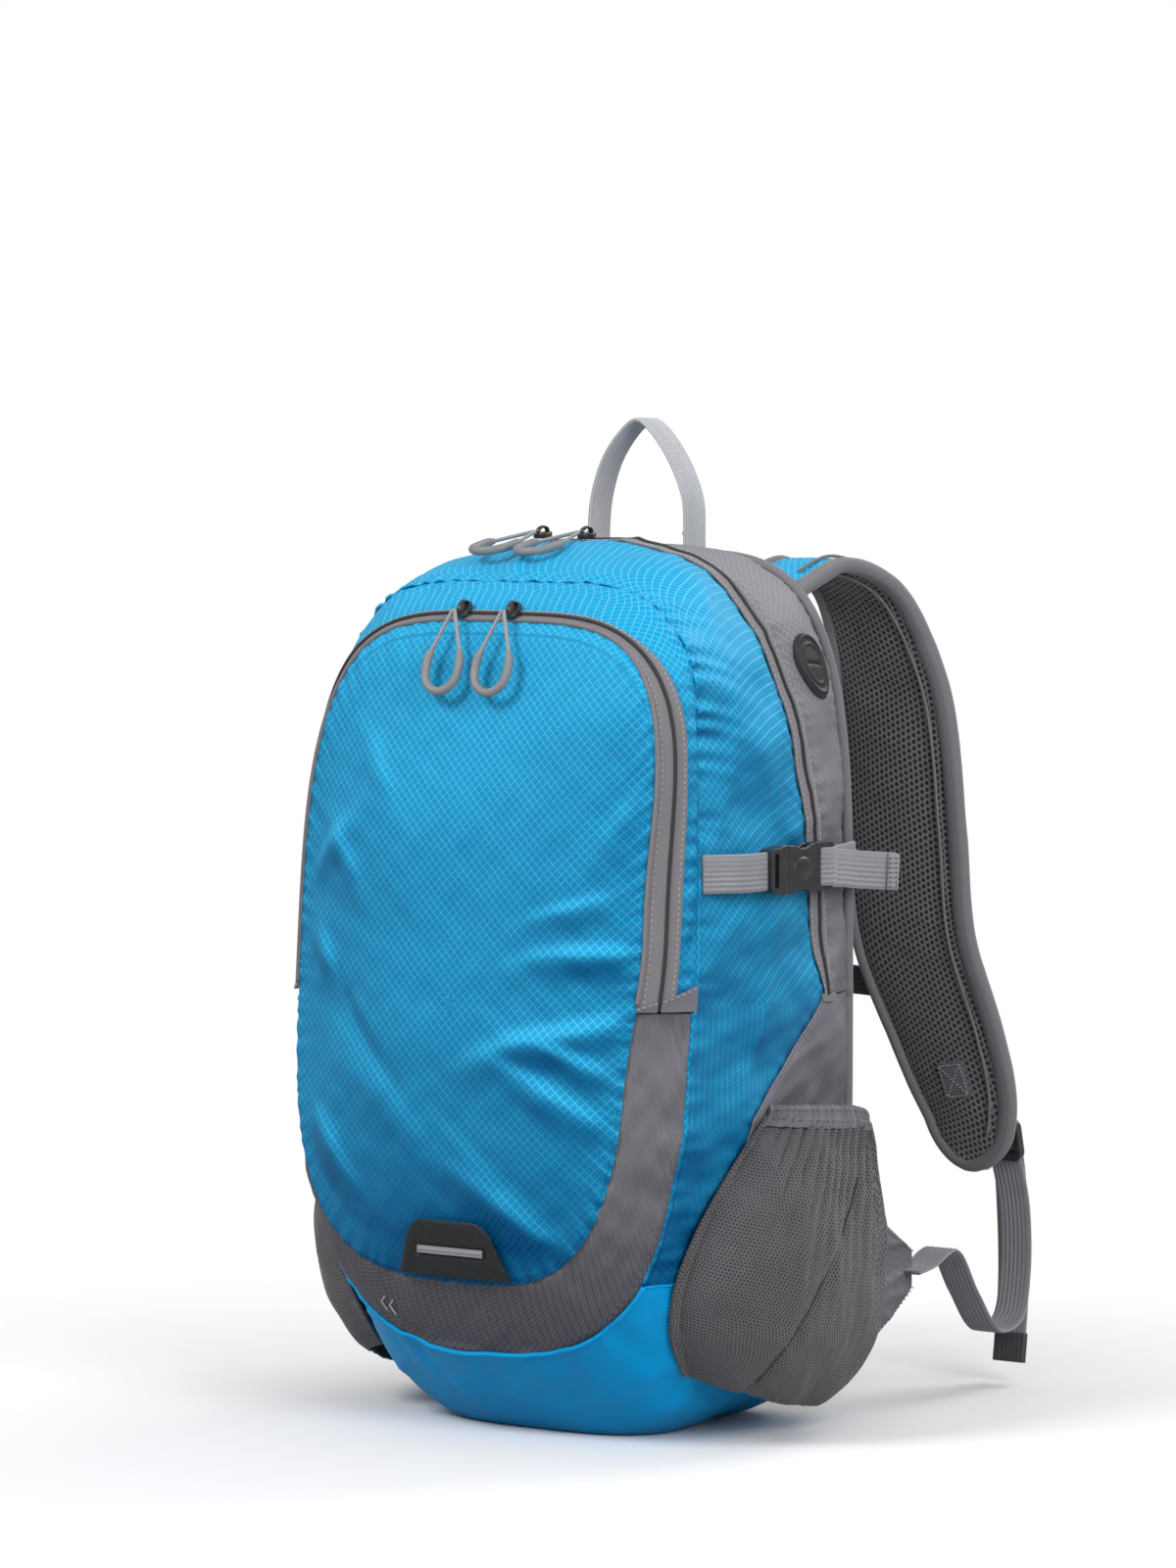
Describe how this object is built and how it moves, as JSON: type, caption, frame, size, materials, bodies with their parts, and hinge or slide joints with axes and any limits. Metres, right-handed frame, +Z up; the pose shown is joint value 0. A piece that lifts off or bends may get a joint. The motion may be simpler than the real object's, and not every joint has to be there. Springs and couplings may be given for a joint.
{
  "type": "daypack",
  "caption": "Panel-loading hiking daypack with an arched front pocket, mesh side pockets, compression straps, haul loop and padded shoulder straps.",
  "frame": {"origin": "on the floor, under the middle of the bag's width and of its shell's depth", "axes": "+Z up, -Y out of the front pocket, +Y out of the wearer's side, +X to the wearer's right"},
  "size_m": [0.3252, 0.355, 0.533],
  "materials": {
    "blue_ripstop": "satin coated ripstop weave",
    "blue_base": "smooth coated plain weave, soft sheen",
    "grey_ripstop": "matte ripstop weave",
    "grey_webbing": "ribbed woven webbing",
    "zip_tape": "matte knitted tape with a coil",
    "spacer_mesh": "open spacer mesh, matte",
    "pocket_mesh": "open warp-knit mesh, matte",
    "elastic": "matte binding",
    "lining": "plain polyester lining",
    "foam": "closed-cell foam",
    "black_plastic": "moulded acetal, satin",
    "black_rubber": "matte moulded rubber",
    "slider_metal": "dark gunmetal",
    "pull_cord": "braided cord with a moulded grip"
  },
  "bodies": {
    "root": {"back_panel": "spacer_mesh", "back_foam": "foam", "inner_sleeve": "lining", "rear_gusset": "grey_ripstop", "main_zip_rear_tape": "zip_tape", "side_panel_rear_right": "grey_ripstop", "side_panel_rear_left": "grey_ripstop", "side_fold_right": "blue_ripstop", "side_fold_left": "blue_ripstop", "side_panel_front_right": "blue_ripstop", "side_panel_front_left": "blue_ripstop", "base_panel": "blue_base", "pocket_fold": "blue_ripstop", "pocket_face_lower": "blue_ripstop", "pocket_band": "grey_ripstop", "divider_fold": "lining", "divider_lower": "lining", "side_pocket_mesh_right": "pocket_mesh", "side_pocket_mesh_left": "pocket_mesh", "side_pocket_elastic_right": "elastic", "side_pocket_elastic_left": "elastic", "cable_port": "black_rubber", "light_tab": "black_rubber", "compression_webbing_right": "grey_webbing", "compression_webbing_left": "grey_webbing", "strap_wing_right": "grey_ripstop", "strap_wing_left": "grey_ripstop", "lower_webbing_right": "grey_webbing", "lower_webbing_left": "grey_webbing"},
    "front_shell": {"front_gusset": "blue_ripstop", "main_zip_front_tape": "zip_tape", "pocket_gusset": "blue_ripstop", "pocket_zip_gusset_tape": "zip_tape", "divider_upper": "lining", "compression_stub_right": "grey_webbing", "compression_stub_left": "grey_webbing", "compression_socket_right": "black_plastic", "compression_socket_left": "black_plastic"},
    "pocket_flap": {"pocket_flap": "blue_ripstop", "pocket_zip_flap_tape": "zip_tape"},
    "pocket_slider_right": {"pocket_slider_right": "slider_metal"},
    "pocket_slider_left": {"pocket_slider_left": "slider_metal"},
    "pocket_pull_right": {"pocket_pull_right": "pull_cord"},
    "pocket_pull_left": {"pocket_pull_left": "pull_cord"},
    "main_slider_right": {"main_slider_right": "slider_metal"},
    "main_slider_left": {"main_slider_left": "slider_metal"},
    "main_pull_right": {"main_pull_right": "pull_cord"},
    "main_pull_left": {"main_pull_left": "pull_cord"},
    "plug_right": {"compression_plug_right": "black_plastic"},
    "plug_left": {"compression_plug_left": "black_plastic"},
    "haul_loop": {"haul_loop": "grey_webbing"},
    "strap_right": {"shoulder_pad_right": "spacer_mesh", "ladder_lock_right": "black_plastic", "sternum_webbing_right": "grey_webbing", "sternum_socket": "black_plastic"},
    "strap_left": {"shoulder_pad_left": "spacer_mesh", "ladder_lock_left": "black_plastic", "sternum_webbing_left": "grey_webbing"},
    "sternum_plug": {"sternum_plug": "black_plastic"}
  },
  "joints": [
    {"name": "main_opening", "type": "hinge", "parent": "root", "child": "front_shell", "pos_m": [0, 0.042, 0.23], "axis": [1, 0, 0], "range_deg": [0, 18], "deforming": ["side_fold_right", "side_fold_left", "pocket_fold", "divider_fold", "compression_webbing_right", "compression_webbing_left"]},
    {"name": "pocket_opening", "type": "hinge", "parent": "front_shell", "child": "pocket_flap", "pos_m": [0, -0.113, 0.229], "axis": [1, 0, 0], "range_deg": [0, 60]},
    {"name": "pocket_slider_travel_right", "type": "hinge", "parent": "pocket_flap", "child": "pocket_slider_right", "pos_m": [0, -0.071, -0.055], "axis": [0, 1, 0], "range_deg": [0, 6.6]},
    {"name": "pocket_slider_travel_left", "type": "hinge", "parent": "pocket_flap", "child": "pocket_slider_left", "pos_m": [0, -0.071, -0.055], "axis": [0, 1, 0], "range_deg": [-5.1, 0]},
    {"name": "pocket_pull_swing_right", "type": "hinge", "parent": "pocket_slider_right", "child": "pocket_pull_right", "pos_m": [0.01, -0.0805, 0.432], "axis": [-1, 0, 0], "range_deg": [0, 110]},
    {"name": "pocket_pull_swing_left", "type": "hinge", "parent": "pocket_slider_left", "child": "pocket_pull_left", "pos_m": [-0.022, -0.0805, 0.432], "axis": [-1, 0, 0], "range_deg": [0, 110]},
    {"name": "main_slider_travel_right", "type": "hinge", "parent": "front_shell", "child": "main_slider_right", "pos_m": [0, 0.016, 0.238], "axis": [0, 1, 0], "range_deg": [0, 9.1]},
    {"name": "main_slider_travel_left", "type": "hinge", "parent": "front_shell", "child": "main_slider_left", "pos_m": [0, 0.016, 0.238], "axis": [0, 1, 0], "range_deg": [-7.6, 0]},
    {"name": "main_pull_swing_right", "type": "hinge", "parent": "main_slider_right", "child": "main_pull_right", "pos_m": [-0.006, 0.0065, 0.4736], "axis": [-1, 0, 0], "range_deg": [0, 110]},
    {"name": "main_pull_swing_left", "type": "hinge", "parent": "main_slider_left", "child": "main_pull_left", "pos_m": [-0.035, 0.0065, 0.4736], "axis": [-1, 0, 0], "range_deg": [0, 110]},
    {"name": "compression_release_right", "type": "slide", "parent": "front_shell", "child": "plug_right", "axis": [0, -1, 0], "range_m": [0, 0.022], "deforming": ["compression_stub_right"]},
    {"name": "compression_release_left", "type": "slide", "parent": "front_shell", "child": "plug_left", "axis": [0, -1, 0], "range_m": [0, 0.022], "deforming": ["compression_stub_left"]},
    {"name": "haul_loop_swing", "type": "hinge", "parent": "root", "child": "haul_loop", "pos_m": [0, 0.06, 0.477], "axis": [1, 0, 0], "range_deg": [-50, 50]},
    {"name": "strap_swing_right", "type": "hinge", "parent": "root", "child": "strap_right", "pos_m": [0, 0.094, 0.448], "axis": [1, 0, 0], "range_deg": [-12, 20], "deforming": ["lower_webbing_right", "lower_webbing_left"]},
    {"name": "strap_swing_left", "type": "hinge", "parent": "root", "child": "strap_left", "pos_m": [0, 0.094, 0.448], "axis": [1, 0, 0], "range_deg": [-12, 20]},
    {"name": "sternum_release", "type": "slide", "parent": "strap_left", "child": "sternum_plug", "axis": [-1, 0, 0], "range_m": [0, 0.012], "deforming": ["sternum_webbing_left"]}
  ],
  "couplings": [
    {"joint": "pocket_slider_travel_right", "follows": "pocket_opening", "ratio": 0.108},
    {"joint": "pocket_slider_travel_left", "follows": "pocket_opening", "ratio": -0.083},
    {"joint": "main_slider_travel_right", "follows": "main_opening", "ratio": 0.5},
    {"joint": "main_slider_travel_left", "follows": "main_opening", "ratio": -0.41},
    {"joint": "strap_swing_left", "follows": "strap_swing_right", "ratio": 1}
  ]
}
